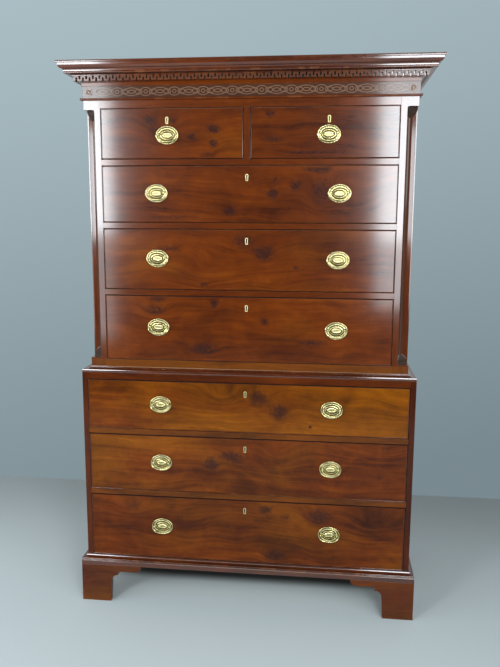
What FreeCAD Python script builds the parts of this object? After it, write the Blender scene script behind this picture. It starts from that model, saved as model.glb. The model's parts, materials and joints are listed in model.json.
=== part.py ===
"""Chest on chest: a two-stage mahogany tallboy with eight graduated drawers.

Millimetres, +Z up, the front facing -Y. The origin is on the floor, at the middle of
the chest's width and of its whole depth, cornice and base moulding included.
"""
import FreeCAD, Part
import math
import os
from collections import namedtuple

V = FreeCAD.Vector

# ---------------------------------------------------------------- driving dimensions
# The two cases
LOWER_WIDTH = 1130.0        # over the lower case's sides
LOWER_DEPTH = 560.0         # face to back
CASE_STEP = 26.0            # the upper case stands in by this much at the front and sides
SIDE_STOCK = 19.0           # case sides
BOARD_STOCK = 18.0          # case tops and bottoms
BACK_STOCK = 12.0           # back boards
BACK_REBATE = 9.0           # how far the back boards are let into each side
LOWER_BACK_BOARDS = 4
UPPER_BACK_BOARDS = 5

# Drawer openings, each the clear height between its rails
LOWER_LONG_3_OPENING = 227.5
LOWER_LONG_2_OPENING = 202.5
LOWER_LONG_1_OPENING = 174.0
UPPER_LONG_3_OPENING = 223.0
UPPER_LONG_2_OPENING = 204.0
UPPER_LONG_1_OPENING = 186.0
SHORT_OPENING = 162.5
RAIL_HEIGHT = 19.0          # rails between the drawers
RAIL_DEPTH = 55.0
LOWER_BOTTOM_RAIL = 16.5    # behind the base moulding
LOWER_TOP_RAIL = 22.5       # under the waist moulding
UPPER_BOTTOM_RAIL = 25.5    # the plain band above the waist moulding
FRIEZE_STOCK = 20.0         # the board behind the frieze and the top band
MUNTIN_WIDTH = 21.0         # upright between the two short drawers
RUNNER_WIDTH = 30.0         # runner inside the line of the opening
GUIDE_HEIGHT = 12.0         # strips that keep the drawers straight
STOP_HEIGHT = 5.0
STOP_DEPTH = 30.0
STOP_LENGTH = 45.0
STOP_INSET = 70.0           # from the end of a drawer front to its stop

# Hollowed front corners of the upper case
POST_SIZE = 55.0
HOLLOW_RADIUS = 35.5
HOLLOW_MARGIN = 4.0         # plain corner left inside the height of the drawers
TONGUE_LENGTH = 36.0        # lamb's-tongue stop at each end of the hollow
TONGUE_SHELF = 0.53         # flat of a stop, as a share of the hollow's depth
TONGUE_COVE = 6.5           # from that flat into the tongue
TONGUE_SWELL = 1.5

# Feet and base moulding
FOOT_HEIGHT = 136.0
BASE_HEIGHT = 34.0
BASE_REACH = 18.0
BRACKET_STOCK = 20.0
BRACKET_LENGTH = 216.0
LEG_WIDTH = 103.0
LEG_FLARE = 4.0             # the leg widens by this much up to its cove
LEG_COVE = 24.0             # radius of the large cove beside the leg
LEG_NECK = 77.0             # floor to the start of that cove
SMALL_COVE = 10.0
BRACKET_ROUND = 22.0        # quarter round at the tip of a bracket
BLOCK_SIZE = 45.0           # glue block in the corner of a foot
BLOCK_LIFT = 2.0
REAR_BRACKET_LENGTH = 150.0
REAR_LEG_WIDTH = 70.0
REAR_BRACKET_RISE = 92.0

# Waist moulding
WAIST_HEIGHT = 17.0
WAIST_NOSE = 10.0

# Frieze and cornice, from the drawers upwards
TOP_BAND = 25.0
ASTRAGAL_HEIGHT = 6.5
ASTRAGAL_REACH = 8.0
FRET_HEIGHT = 38.0
FRET_REACH = 2.0
BED_HEIGHT = 13.0
BED_REACH = 4.0
KEY_HEIGHT = 16.0           # Greek-key dentil course
KEY_REACH = 24.0
KEY_STOCK = 10.0
KEY_PITCH = 22.0            # nominal; each run is divided evenly
KEY_SLOT = 5.5
CROWN_REACH = 66.0
CROWN_INSET = 40.0          # the crown's width over the top of the case
CROWN_FILLET = 6.5
CROWN_QUIRK = 4.5           # fillet out from the ovolo
OVOLO_HEIGHT = 15.5
OVOLO_LEAN = 6.5            # bottom of the ovolo in from its top
CAVETTO_HEIGHT = 5.0
CORONA_REACH = 47.0
CORONA_BAND = 3.5
CORONA_BEAD = 6.0
CORONA_LIFT = 4.0           # key course up to the corona

# Drawers
REAR_ROOM = 22.0            # from a drawer's back to the back boards
FRONT_STOCK = 20.0
FRONT_GAP = 1.0             # round a drawer front
RUN_GAP = 0.3               # drawer on its runner, and front to its stops
BEAD_WIDTH = 3.0            # cock-bead
BEAD_STAND = 2.5
LAP = 6.0                   # wood left before the dovetails, and the depth of the beads
SIDE_THICKNESS = 10.0
SIDE_DROP = 5.0             # drawer sides below the top of the opening
BACK_DROP = 8.0             # drawer back below the drawer sides
BOTTOM_THICKNESS = 7.0
BOTTOM_LIFT = 8.0           # underside of the bottom above the runner
GROOVE = 4.0
TAIL_PITCH = 80.0           # nominal spacing of the dovetails
TAIL_SHARE = 0.62           # share of that spacing that a tail takes at its root
TAIL_SLOPE = 0.17

# Locks and keyhole linings
KEY_DROP = 38.5             # top of a drawer front to the middle of its keyhole
LINING_WIDTH = 10.0
LINING_HEIGHT = 22.0
LINING_WALL = 2.2
LINING_DEPTH = 4.0
LOCK_WIDTH = 60.0
LOCK_HEIGHT = 54.0
LOCK_STOCK = 8.0

# Handles
UPPER_HANDLE_X = 300.0
LOWER_HANDLE_X = 291.0
SHORT_HANDLE_X = 262.0
LONG_HANDLE_RISE = 3.0      # plate centre above the middle of a long opening
SHORT_HANDLE_RISE = -5.0
PLATE_WIDTH = 74.0
PLATE_HEIGHT = 58.0
PLATE_STOCK = 1.2
RIM_WIDTH = 4.0
RIM_STAND = 2.6
OVAL_SIDES = 14
POST_SPREAD = 54.0
POST_RISE = 2.0             # pivots above the plate's centre
PIVOT_REACH = 12.0          # drawer face to the bail's pivots
POST_FOOT = 3.6
POST_HEAD = 4.6
POST_SIDES = 6
BAIL_WIDTH = 67.0           # between the centre lines of the two arms
BAIL_DROP = 23.0
BAIL_END = 1.4
BAIL_GRIP = 2.6
BAIL_TIP = 5.5              # how far each end reaches into its post
BAIL_GAP = 0.3
BAIL_SIDES = 6
BAIL_SPANS = 8

CURVE_FLATS = 4             # flats that stand for each drawn curve

# ---------------------------------------------------------------- worked-out places
UPPER_WIDTH = LOWER_WIDTH - 2 * CASE_STEP
LOWER_HALF = LOWER_WIDTH / 2
UPPER_HALF = UPPER_WIDTH / 2
DEPTH = LOWER_DEPTH + max(CROWN_REACH - CASE_STEP, BASE_REACH)
BACK = DEPTH / 2
LOWER_FACE = BACK - LOWER_DEPTH
UPPER_FACE = LOWER_FACE + CASE_STEP
LINING_BACK = BACK - BACK_STOCK

LOWER_BASE = FOOT_HEIGHT
LOWER_LONG_3 = LOWER_BASE + BOARD_STOCK + LOWER_BOTTOM_RAIL
LOWER_LONG_2 = LOWER_LONG_3 + LOWER_LONG_3_OPENING + RAIL_HEIGHT
LOWER_LONG_1 = LOWER_LONG_2 + LOWER_LONG_2_OPENING + RAIL_HEIGHT
LOWER_RAIL_TOP = LOWER_LONG_1 + LOWER_LONG_1_OPENING
UPPER_BASE = LOWER_RAIL_TOP + LOWER_TOP_RAIL
UPPER_LONG_3 = UPPER_BASE + BOARD_STOCK + UPPER_BOTTOM_RAIL
UPPER_LONG_2 = UPPER_LONG_3 + UPPER_LONG_3_OPENING + RAIL_HEIGHT
UPPER_LONG_1 = UPPER_LONG_2 + UPPER_LONG_2_OPENING + RAIL_HEIGHT
SHORT = UPPER_LONG_1 + UPPER_LONG_1_OPENING + RAIL_HEIGHT
BAND = SHORT + SHORT_OPENING
ASTRAGAL = BAND + TOP_BAND
FRET = ASTRAGAL + ASTRAGAL_HEIGHT
BED = FRET + FRET_HEIGHT
KEY = BED + BED_HEIGHT
CROWN = KEY + KEY_HEIGHT
TOP = CROWN + CORONA_LIFT + CORONA_BEAD + CORONA_BAND + CAVETTO_HEIGHT + OVOLO_HEIGHT + CROWN_FILLET

LOWER_CLEAR = LOWER_HALF - SIDE_STOCK       # half the lower openings' width
UPPER_CLEAR = UPPER_HALF - POST_SIZE
UPPER_WALL = UPPER_HALF - SIDE_STOCK        # inner face of an upper side

# A drawer's bay: its opening, the case's face there, its length and its handles
Bay = namedtuple("Bay", "name x z face length grips rise")


def drawer_length(face):
    """Length of a drawer whose front's outer side is at face."""
    return LINING_BACK - REAR_ROOM - face


def long_bay(name, clear, bottom, height, face, handle_x):
    """The bay of a drawer as wide as its case, with two handles."""
    grips = {"bail_left": -handle_x, "bail_right": handle_x}
    z = (bottom, bottom + height)
    return Bay(name, (-clear, clear), z, face, drawer_length(face), grips, LONG_HANDLE_RISE)


def short_bay(name, x, handle_x):
    """The bay of one of the two short drawers, with one handle."""
    z = (SHORT, SHORT + SHORT_OPENING)
    return Bay(name, x, z, UPPER_FACE, drawer_length(UPPER_FACE), {"bail": handle_x}, SHORT_HANDLE_RISE)


def all_bays():
    """The eight bays, from the top of the chest downwards."""
    upper = (UPPER_FACE, UPPER_HANDLE_X)
    lower = (LOWER_FACE, LOWER_HANDLE_X)
    half = MUNTIN_WIDTH / 2
    return [
        short_bay("short_left", (-UPPER_CLEAR, -half), -SHORT_HANDLE_X),
        short_bay("short_right", (half, UPPER_CLEAR), SHORT_HANDLE_X),
        long_bay("upper_long_1", UPPER_CLEAR, UPPER_LONG_1, UPPER_LONG_1_OPENING, *upper),
        long_bay("upper_long_2", UPPER_CLEAR, UPPER_LONG_2, UPPER_LONG_2_OPENING, *upper),
        long_bay("upper_long_3", UPPER_CLEAR, UPPER_LONG_3, UPPER_LONG_3_OPENING, *upper),
        long_bay("lower_long_1", LOWER_CLEAR, LOWER_LONG_1, LOWER_LONG_1_OPENING, *lower),
        long_bay("lower_long_2", LOWER_CLEAR, LOWER_LONG_2, LOWER_LONG_2_OPENING, *lower),
        long_bay("lower_long_3", LOWER_CLEAR, LOWER_LONG_3, LOWER_LONG_3_OPENING, *lower),
    ]


# ---------------------------------------------------------------- shape helpers
def box(x, y, z):
    """A block between three pairs of limits."""
    return Part.makeBox(x[1] - x[0], y[1] - y[0], z[1] - z[0], V(x[0], y[0], z[0]))


def both_sides(shape):
    """A shape and its mirror image on the other side of the chest, left one first."""
    return [shape.mirror(V(0, 0, 0), V(1, 0, 0)), shape]


def unit(end, start):
    """The direction from start to end."""
    run = math.dist(end, start)
    return ((end[0] - start[0]) / run, (end[1] - start[1]) / run)


def bowed(start, end, sag):
    """Points along a circular bow from start to end, that far to the left of its chord."""
    chord = math.dist(start, end)
    along = unit(end, start)
    radius = (chord * chord / 4 + sag * sag) / (2 * sag)
    half = 2 * math.atan(2 * sag / chord)
    points = []
    for k in range(1, CURVE_FLATS + 1):
        turn = half * (2 * k / CURVE_FLATS - 1)
        ahead = chord / 2 + radius * math.sin(turn)
        aside = sag - radius * (1 - math.cos(turn))
        points.append((start[0] + ahead * along[0] - aside * along[1],
                       start[1] + ahead * along[1] + aside * along[0]))
    return points


def outline(steps, place):
    """A face from (a, b) points laid in space by place.

    A third value bows the line that ends at that point, by that much to its left.
    """
    points = []
    last = steps[-1][:2]
    for step in steps:
        here = step[:2]
        points += bowed(last, here, step[2]) if len(step) == 3 and step[2] else [here]
        last = here
    corners = [place(a, b) for a, b in points]
    return Part.Face(Part.makePolygon(corners + corners[:1]))


def plan(points, z):
    """A prism on a plan drawn in X and Y."""
    return outline(points, lambda x, y: V(x, y, z[0])).extrude(V(0, 0, z[1] - z[0]))


def elevation(points, y):
    """A prism on an elevation drawn in X and Z."""
    return outline(points, lambda x, z: V(x, y[0], z)).extrude(V(0, y[1] - y[0], 0))


def side_elevation(points, x):
    """A prism on an elevation drawn in Y and Z."""
    return outline(points, lambda y, z: V(x[0], y, z)).extrude(V(x[1] - x[0], 0, 0))


def mitred(front, right, half, face, reach, inset, z):
    """Cut a front run and a right-hand return to their mitres, and add the left-hand one."""
    front_plan = [(-half + inset, face + inset), (-half - reach, face - reach),
                  (half + reach, face - reach), (half - inset, face + inset)]
    right_plan = [(half - inset, face + inset), (half + reach, face - reach),
                  (half + reach, BACK), (half - inset, BACK)]
    return [front.common(plan(front_plan, z))] + both_sides(right.common(plan(right_plan, z)))


def moulding(profile, half, face, reach, inset=0.0):
    """A moulding of (projection, height) points, mitred round the front and both sides."""
    front = outline(profile, lambda p, z: V(-half - reach, face - p, z))
    right = outline(profile, lambda p, z: V(half + p, face - reach, z))
    heights = [step[1] for step in profile]
    return mitred(front.extrude(V(2 * (half + reach), 0, 0)), right.extrude(V(0, BACK - face + reach, 0)),
                  half, face, reach, inset, (min(heights), max(heights)))


def regular(radius, sides, place):
    """The corners of a regular polygon."""
    turns = [2 * math.pi * (k + 0.5) / sides for k in range(sides)]
    return [place(radius * math.cos(turn), radius * math.sin(turn)) for turn in turns]


def faceted(rings):
    """A solid through rings of corners, with flat facets between them."""
    def flat(*corners):
        return Part.Face(Part.makePolygon(list(corners) + [corners[0]]))

    faces = [flat(*rings[0]), flat(*rings[-1])]
    for here, there in zip(rings, rings[1:]):
        for k in range(len(here)):
            a, b, c, d = here[k - 1], here[k], there[k], there[k - 1]
            faces += [flat(a, b, c), flat(a, c, d)]
    solid = Part.Solid(Part.Shell(faces))
    if solid.Volume < 0:
        solid.reverse()
    return solid


# ---------------------------------------------------------------- cases
def case_side(half, y, z):
    """A right-hand side with its rear edge rebated for the back boards."""
    side = box((half - SIDE_STOCK, half), y, z)
    return side.cut(box((half - SIDE_STOCK, half - SIDE_STOCK + BACK_REBATE), (LINING_BACK, BACK), z))


def back_boards(half, z, count):
    """Boards of equal height nailed into the rebates, one above the other."""
    reach = half - SIDE_STOCK + BACK_REBATE
    step = (z[1] - z[0]) / count
    return [box((-reach, reach), (LINING_BACK, BACK), (z[0] + k * step, z[0] + (k + 1) * step))
            for k in range(count)]


def notched_board(front, z):
    """An upper board between the sides, notched round the two corner posts."""
    board = box((-UPPER_WALL, UPPER_WALL), (front, LINING_BACK), z)
    for post in both_sides(box((UPPER_CLEAR, UPPER_HALF), (UPPER_FACE, UPPER_FACE + POST_SIZE), z)):
        board = board.cut(post)
    return board


def rail(clear, face, z):
    """A rail between two drawers, or under the lowest one."""
    return box((-clear, clear), (face, face + RAIL_DEPTH), z)


def side_runners(clear, wall, face, z):
    """The two runners behind a rail, fixed to the case's sides."""
    return both_sides(box((clear - RUNNER_WIDTH, wall), (face + RAIL_DEPTH, LINING_BACK), z))


def stops(bay):
    """Two blocks on the rail that meet the back of a drawer front."""
    y = bay.face + FRONT_STOCK + RUN_GAP
    z = (bay.z[0], bay.z[0] + STOP_HEIGHT)
    starts = (bay.x[0] + STOP_INSET, bay.x[1] - STOP_INSET - STOP_LENGTH)
    return [box((x, x + STOP_LENGTH), (y, y + STOP_DEPTH), z) for x in starts]


def upper_drawer_rails():
    """Rails of the upper case, the upright between the short drawers and the frieze board."""
    rails = [rail(UPPER_CLEAR, UPPER_FACE, (top - height, top)) for top, height in
             ((UPPER_LONG_3, UPPER_BOTTOM_RAIL), (UPPER_LONG_2, RAIL_HEIGHT),
              (UPPER_LONG_1, RAIL_HEIGHT), (SHORT, RAIL_HEIGHT))]
    muntin = box((-MUNTIN_WIDTH / 2, MUNTIN_WIDTH / 2), (UPPER_FACE, UPPER_FACE + RAIL_DEPTH), (SHORT, BAND))
    frieze = box((-UPPER_CLEAR, UPPER_CLEAR), (UPPER_FACE, UPPER_FACE + FRIEZE_STOCK), (BAND, CROWN))
    return rails + [muntin, frieze]


def upper_runners(bays):
    """Runners, guides, kickers and stops of the upper case."""
    pieces = []
    levels = ((UPPER_LONG_3, UPPER_BOTTOM_RAIL), (UPPER_LONG_2, RAIL_HEIGHT),
              (UPPER_LONG_1, RAIL_HEIGHT), (SHORT, RAIL_HEIGHT))
    guide_y = (UPPER_FACE + POST_SIZE, LINING_BACK)
    for top, height in levels:
        pieces += side_runners(UPPER_CLEAR, UPPER_WALL, UPPER_FACE, (top - height, top))
        pieces += both_sides(box((UPPER_CLEAR, UPPER_WALL), guide_y, (top, top + GUIDE_HEIGHT)))
    half = MUNTIN_WIDTH / 2
    middle = (-half - RUNNER_WIDTH, half + RUNNER_WIDTH)
    pieces.append(box(middle, (UPPER_FACE + RAIL_DEPTH, LINING_BACK), (SHORT - RAIL_HEIGHT, SHORT)))
    pieces.append(box((-half, half), (UPPER_FACE + RAIL_DEPTH, LINING_BACK), (SHORT, SHORT + GUIDE_HEIGHT)))
    pieces += side_runners(UPPER_CLEAR, UPPER_WALL, UPPER_FACE, (BAND, BAND + RAIL_HEIGHT))
    pieces.append(box(middle, (UPPER_FACE + FRIEZE_STOCK, LINING_BACK), (BAND, BAND + RAIL_HEIGHT)))
    for bay in bays[:5]:
        pieces += stops(bay)
    return pieces


def lower_drawer_rails():
    """Rails of the lower case, from the one behind the base moulding upwards."""
    return [rail(LOWER_CLEAR, LOWER_FACE, (top - height, top)) for top, height in
            ((LOWER_LONG_3, LOWER_BOTTOM_RAIL), (LOWER_LONG_2, RAIL_HEIGHT),
             (LOWER_LONG_1, RAIL_HEIGHT), (UPPER_BASE, LOWER_TOP_RAIL))]


def lower_runners(bays):
    """Runners and stops of the lower case, whose drawers run between its sides."""
    pieces = []
    for top, height in ((LOWER_LONG_3, LOWER_BOTTOM_RAIL), (LOWER_LONG_2, RAIL_HEIGHT),
                        (LOWER_LONG_1, RAIL_HEIGHT)):
        pieces += side_runners(LOWER_CLEAR, LOWER_CLEAR, LOWER_FACE, (top - height, top))
    for bay in bays[5:]:
        pieces += stops(bay)
    return pieces


def upper_case_boards():
    """Bottom and top boards of the upper case."""
    return [notched_board(UPPER_FACE, (UPPER_BASE, UPPER_BASE + BOARD_STOCK)),
            notched_board(UPPER_FACE + FRIEZE_STOCK, (CROWN - BOARD_STOCK, CROWN))]


def lower_case_boards():
    """Bottom and top boards of the lower case."""
    x = (-LOWER_CLEAR, LOWER_CLEAR)
    return [box(x, (LOWER_FACE, LINING_BACK), (LOWER_BASE, LOWER_BASE + BOARD_STOCK)),
            box(x, (LOWER_FACE + RAIL_DEPTH, LINING_BACK), (UPPER_BASE - BOARD_STOCK, UPPER_BASE))]


def hollow_post():
    """Right-hand corner post of the upper case, hollowed between two lamb's tongues."""
    post = box((UPPER_CLEAR, UPPER_HALF), (UPPER_FACE, UPPER_FACE + POST_SIZE), (UPPER_BASE, CROWN))
    low = UPPER_LONG_3 + HOLLOW_MARGIN
    high = BAND - HOLLOW_MARGIN
    shelf = TONGUE_SHELF * HOLLOW_RADIUS
    root = shelf + TONGUE_COVE
    deep = HOLLOW_RADIUS + 1.0
    bow = (1 - math.sqrt(0.5)) * TONGUE_COVE
    # depth in from the corner, along its diagonal, against height
    tongue = [(-1.0, low), (shelf, low), (root, low + TONGUE_COVE, -bow),
              (deep, low + TONGUE_LENGTH, TONGUE_SWELL), (deep, high - TONGUE_LENGTH),
              (root, high - TONGUE_COVE, TONGUE_SWELL), (shelf, high, -bow), (-1.0, high)]
    diagonal = math.sqrt(0.5)
    span = 2 * HOLLOW_RADIUS

    def place(inward, z):
        return V(UPPER_HALF - (inward + span) * diagonal, UPPER_FACE + (inward - span) * diagonal, z)

    limit = outline(tongue, place).extrude(V(2 * span * diagonal, 2 * span * diagonal, 0))
    hollow = Part.makeCylinder(HOLLOW_RADIUS, high - low, V(UPPER_HALF, UPPER_FACE, low))
    return post.cut(hollow.common(limit))


# ---------------------------------------------------------------- mouldings
def base_moulding():
    """Fascia, two beads, a hollow and a fillet at the foot of the lower case."""
    profile = [(0, 0), (BASE_REACH, 0), (BASE_REACH, 15), (BASE_REACH - 1.5, 17),
               (BASE_REACH - 1.5, 21, -1.6), (BASE_REACH - 2.5, 25, -1.6), (3.5, 32, 2.6),
               (3.5, BASE_HEIGHT), (0, BASE_HEIGHT)]
    raised = [(step[0], step[1] + LOWER_BASE) + step[2:] for step in profile]
    return moulding(raised, LOWER_HALF, LOWER_FACE, BASE_REACH)


def waist_moulding():
    """Nose, hollow and fillet that cover the step between the two cases."""
    nose = CASE_STEP - 1.0
    profile = [(0, 0), (nose, 0), (nose, WAIST_NOSE, -1.0), (nose - 5, WAIST_NOSE),
               (5, WAIST_HEIGHT - 3, 2.4), (5, WAIST_HEIGHT), (0, WAIST_HEIGHT)]
    raised = [(step[0], step[1] + UPPER_BASE) + step[2:] for step in profile]
    return moulding(raised, UPPER_HALF, UPPER_FACE, CASE_STEP)


def frieze_strips():
    """Astragal, fret ground and bed fillet planted on the frieze board."""
    astragal = [(0, ASTRAGAL), (ASTRAGAL_REACH - 1, ASTRAGAL), (ASTRAGAL_REACH - 1, FRET, -2.4), (0, FRET)]
    ground = [(0, FRET), (FRET_REACH, FRET), (FRET_REACH, BED), (BED_REACH, BED), (BED_REACH, KEY),
              (0, KEY)]
    return (moulding(astragal, UPPER_HALF, UPPER_FACE, ASTRAGAL_REACH + 2)
            + moulding(ground, UPPER_HALF, UPPER_FACE, BED_REACH))


def crown_moulding():
    """Crown of the cornice, with the ground that the key course is planted on."""
    ground = KEY_REACH - KEY_STOCK
    corona = CROWN + CORONA_LIFT
    band = corona + CORONA_BEAD
    cavetto = band + CORONA_BAND
    ovolo = cavetto + CAVETTO_HEIGHT
    fillet = ovolo + OVOLO_HEIGHT
    under = CROWN_REACH - CROWN_QUIRK           # reach of the ovolo under the fillet
    profile = [(-CROWN_INSET, CROWN), (0, CROWN), (0, KEY), (ground, KEY), (ground, CROWN),
               (KEY_REACH + 2, CROWN), (KEY_REACH + 2, CROWN + 1.5), (CORONA_REACH - 4, corona, 1.5),
               (CORONA_REACH - 2, corona), (CORONA_REACH - 2, band, -CORONA_BEAD / 3),
               (CORONA_REACH, band), (CORONA_REACH, cavetto),
               (under - OVOLO_LEAN - 1, ovolo, CAVETTO_HEIGHT / 3), (under - OVOLO_LEAN, ovolo),
               (under, fillet, -OVOLO_HEIGHT / 6), (CROWN_REACH, fillet),
               (CROWN_REACH, TOP), (-CROWN_INSET, TOP)]
    return moulding(profile, UPPER_HALF, UPPER_FACE, CROWN_REACH, CROWN_INSET)


def key_steps(length):
    """Elevation of a key course: slots from below and from above by turns."""
    count = round(length / KEY_PITCH)
    pitch = length / count
    depth = KEY_HEIGHT - KEY_SLOT
    steps = [(0, 0)]
    for k in range(count):
        middle = (k + 0.5) * pitch
        left, right = middle - KEY_SLOT / 2, middle + KEY_SLOT / 2
        steps += [(left, 0), (left, depth), (right, depth), (right, 0)]
    steps += [(length, 0), (length, KEY_HEIGHT)]
    for k in range(count - 1, 0, -1):
        left, right = k * pitch - KEY_SLOT / 2, k * pitch + KEY_SLOT / 2
        steps += [(right, KEY_HEIGHT), (right, KEY_HEIGHT - depth), (left, KEY_HEIGHT - depth),
                  (left, KEY_HEIGHT)]
    return steps + [(0, KEY_HEIGHT)]


def key_course():
    """Greek-key dentils under the crown, mitred at the corners."""
    half = UPPER_HALF + KEY_REACH
    face = UPPER_FACE - KEY_REACH
    front = outline(key_steps(2 * half), lambda s, z: V(s - half, face, KEY + z))
    right = outline(key_steps(BACK - face), lambda s, z: V(half, face + s, KEY + z))
    return mitred(front.extrude(V(0, KEY_STOCK, 0)), right.extrude(V(-KEY_STOCK, 0, 0)),
                  UPPER_HALF, UPPER_FACE, KEY_REACH, 0.0, (KEY, CROWN))


# ---------------------------------------------------------------- feet
def bracket_steps():
    """Elevation of a bracket, measured from its outer corner."""
    neck = LEG_WIDTH + LEG_FLARE
    cove_top = LEG_NECK + LEG_COVE
    step = neck + LEG_COVE
    under = FOOT_HEIGHT - BRACKET_ROUND
    bow = 1 - math.sqrt(0.5)
    return [(0, 0), (LEG_WIDTH, 0), (neck, LEG_NECK), (step, cove_top, LEG_COVE * bow),
            (step, under - SMALL_COVE), (step + SMALL_COVE, under, SMALL_COVE * bow),
            (BRACKET_LENGTH - BRACKET_ROUND, under),
            (BRACKET_LENGTH, FOOT_HEIGHT, -BRACKET_ROUND * bow), (0, FOOT_HEIGHT)]


def front_foot():
    """Right-hand front foot: two brackets mitred at the corner, and a glue block."""
    half = LOWER_HALF + BASE_REACH
    face = LOWER_FACE - BASE_REACH
    front = elevation([(half - s[0], s[1]) + tuple(-b for b in s[2:]) for s in bracket_steps()],
                      (face, face + BRACKET_STOCK))
    side = side_elevation([(face + s[0], s[1]) + s[2:] for s in bracket_steps()],
                          (half - BRACKET_STOCK, half))
    long_reach = BRACKET_LENGTH
    corner = (half, face)
    inner = (half - long_reach, face + long_reach)
    z = (0, FOOT_HEIGHT)
    front = front.common(plan([corner, inner, (half - long_reach, face)], z))
    side = side.common(plan([corner, inner, (half, face + long_reach)], z))
    x = half - BRACKET_STOCK
    y = face + BRACKET_STOCK
    block = box((x - BLOCK_SIZE, x), (y, y + BLOCK_SIZE), (BLOCK_LIFT, FOOT_HEIGHT))
    return [front, side, block]


def back_foot():
    """Right-hand back foot: a side bracket, a plain rear bracket and a glue block."""
    half = LOWER_HALF + BASE_REACH
    side = side_elevation([(BACK - s[0], s[1]) + tuple(-b for b in s[2:]) for s in bracket_steps()],
                          (half - BRACKET_STOCK, half))
    x = half - BRACKET_STOCK
    y = LINING_BACK - BRACKET_STOCK
    rear_steps = [(x, 0), (x - REAR_LEG_WIDTH, 0), (x - REAR_BRACKET_LENGTH, REAR_BRACKET_RISE),
                  (x - REAR_BRACKET_LENGTH, FOOT_HEIGHT), (x, FOOT_HEIGHT)]
    rear = elevation(rear_steps, (y, LINING_BACK))
    block = box((x - BLOCK_SIZE, x), (y - BLOCK_SIZE, y), (BLOCK_LIFT, FOOT_HEIGHT))
    return [side, rear, block]


# ---------------------------------------------------------------- drawers
def front_limits(bay):
    """Outer limits of a drawer front, in X and in Z."""
    return ((bay.x[0] + FRONT_GAP, bay.x[1] - FRONT_GAP), (bay.z[0] + FRONT_GAP, bay.z[1] - FRONT_GAP))


def side_height(bay):
    """Lower and upper edges of a drawer's sides."""
    return (bay.z[0] + RUN_GAP, bay.z[1] - SIDE_DROP)


def tails(x, y_root, y_end, z):
    """Dovetail tails between two heights, widening from their root to their end."""
    count = max(2, round((z[1] - z[0]) / TAIL_PITCH))
    pitch = (z[1] - z[0]) / count
    root = pitch * TAIL_SHARE / 2
    end = root + TAIL_SLOPE * abs(y_end - y_root)
    pieces = []
    for k in range(count):
        middle = z[0] + (k + 0.5) * pitch
        pieces.append(side_elevation([(y_root, middle - root), (y_end, middle - end),
                                      (y_end, middle + end), (y_root, middle + root)], x))
    return pieces


def drawer_ends(bay):
    """X limits of a drawer's two sides."""
    x = front_limits(bay)[0]
    return [(x[0], x[0] + SIDE_THICKNESS), (x[1] - SIDE_THICKNESS, x[1])]


def back_height(bay):
    """Lower and upper edges of a drawer's back."""
    low, high = side_height(bay)
    return (low + BOTTOM_LIFT + BOTTOM_THICKNESS, high - BACK_DROP)


def front_tails(bay, x):
    """Tails of a drawer side that lap into the front."""
    return tails(x, bay.face + FRONT_STOCK, bay.face + LAP, side_height(bay))


def lock_middle(bay):
    """X of a drawer's lock: over its handle, or half way between its two."""
    return sum(bay.grips.values()) / len(bay.grips)


def keyhole(bay, grow, y):
    """A keyhole's rounded head and skirt, widened all round by grow."""
    x = lock_middle(bay)
    z = front_limits(bay)[1][1] - KEY_DROP
    radius = LINING_WIDTH / 2 - LINING_WALL + grow
    head = z + LINING_HEIGHT / 2 - LINING_WIDTH / 2
    low = z - LINING_HEIGHT / 2 + LINING_WALL - grow
    skirt = radius - LINING_WALL / 2
    arch = [(x + radius * math.cos(turn), head + radius * math.sin(turn))
            for turn in (0, math.pi / 3, 2 * math.pi / 3, math.pi)]
    return elevation([(x - skirt, low), (x + skirt, low)] + arch, y)


def lock_body(bay):
    """The lock, let in flush with the back of the front."""
    x = lock_middle(bay)
    y = bay.face + FRONT_STOCK
    top = front_limits(bay)[1][1] - BEAD_WIDTH
    return box((x - LOCK_WIDTH / 2, x + LOCK_WIDTH / 2), (y - LOCK_STOCK, y), (top - LOCK_HEIGHT, top))


def cock_beads(bay):
    """Four mitred beads round the front, each with an eased nose."""
    (x0, x1), (z0, z1) = front_limits(bay)
    b = BEAD_WIDTH
    ease = b / 3
    y0, y1 = bay.face - BEAD_STAND, bay.face + LAP
    section = [(0, y1), (0, y0 + ease), (ease, y0), (b - ease, y0), (b, y0 + ease), (b, y1)]

    def along(z):
        return side_elevation([(y, z + s) for s, y in section], (x0, x1))

    def upright(x):
        return plan([(x + s, y) for s, y in section], (z0, z1))

    outer = [(x0, z0), (x1, z0), (x1, z1), (x0, z1)]
    inner = [(x0 + b, z0 + b), (x1 - b, z0 + b), (x1 - b, z1 - b), (x0 + b, z1 - b)]
    runs = (along(z0), upright(x1 - b), along(z1 - b), upright(x0))
    mitres = [[outer[k - 3], outer[k], inner[k], inner[k - 3]] for k in range(4)]
    return [run.common(elevation(corners, (y0, y1))) for run, corners in zip(runs, mitres)]


def drawer_front(bay):
    """Front board, rebated for its beads and cut for dovetails, bottom, lock and key."""
    (x0, x1), (z0, z1) = front_limits(bay)
    b = BEAD_WIDTH
    face = bay.face
    board = box((x0, x1), (face + LAP, face + FRONT_STOCK), (z0, z1))
    board = board.fuse(box((x0 + b, x1 - b), (face, face + LAP), (z0 + b, z1 - b)))
    cuts = [tail for x in drawer_ends(bay) for tail in front_tails(bay, x)]
    low = side_height(bay)[0] + BOTTOM_LIFT
    cuts.append(box((x0 + SIDE_THICKNESS - GROOVE, x1 - SIDE_THICKNESS + GROOVE),
                    (face + FRONT_STOCK - GROOVE, face + FRONT_STOCK), (low, low + BOTTOM_THICKNESS)))
    cuts.append(lock_body(bay))
    cuts.append(keyhole(bay, LINING_WALL, (face, face + LINING_DEPTH)))
    cuts.append(keyhole(bay, 0.0, (face + LINING_DEPTH, face + FRONT_STOCK - LOCK_STOCK)))
    return [board.cut(cuts).removeSplitter()] + cock_beads(bay)


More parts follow.
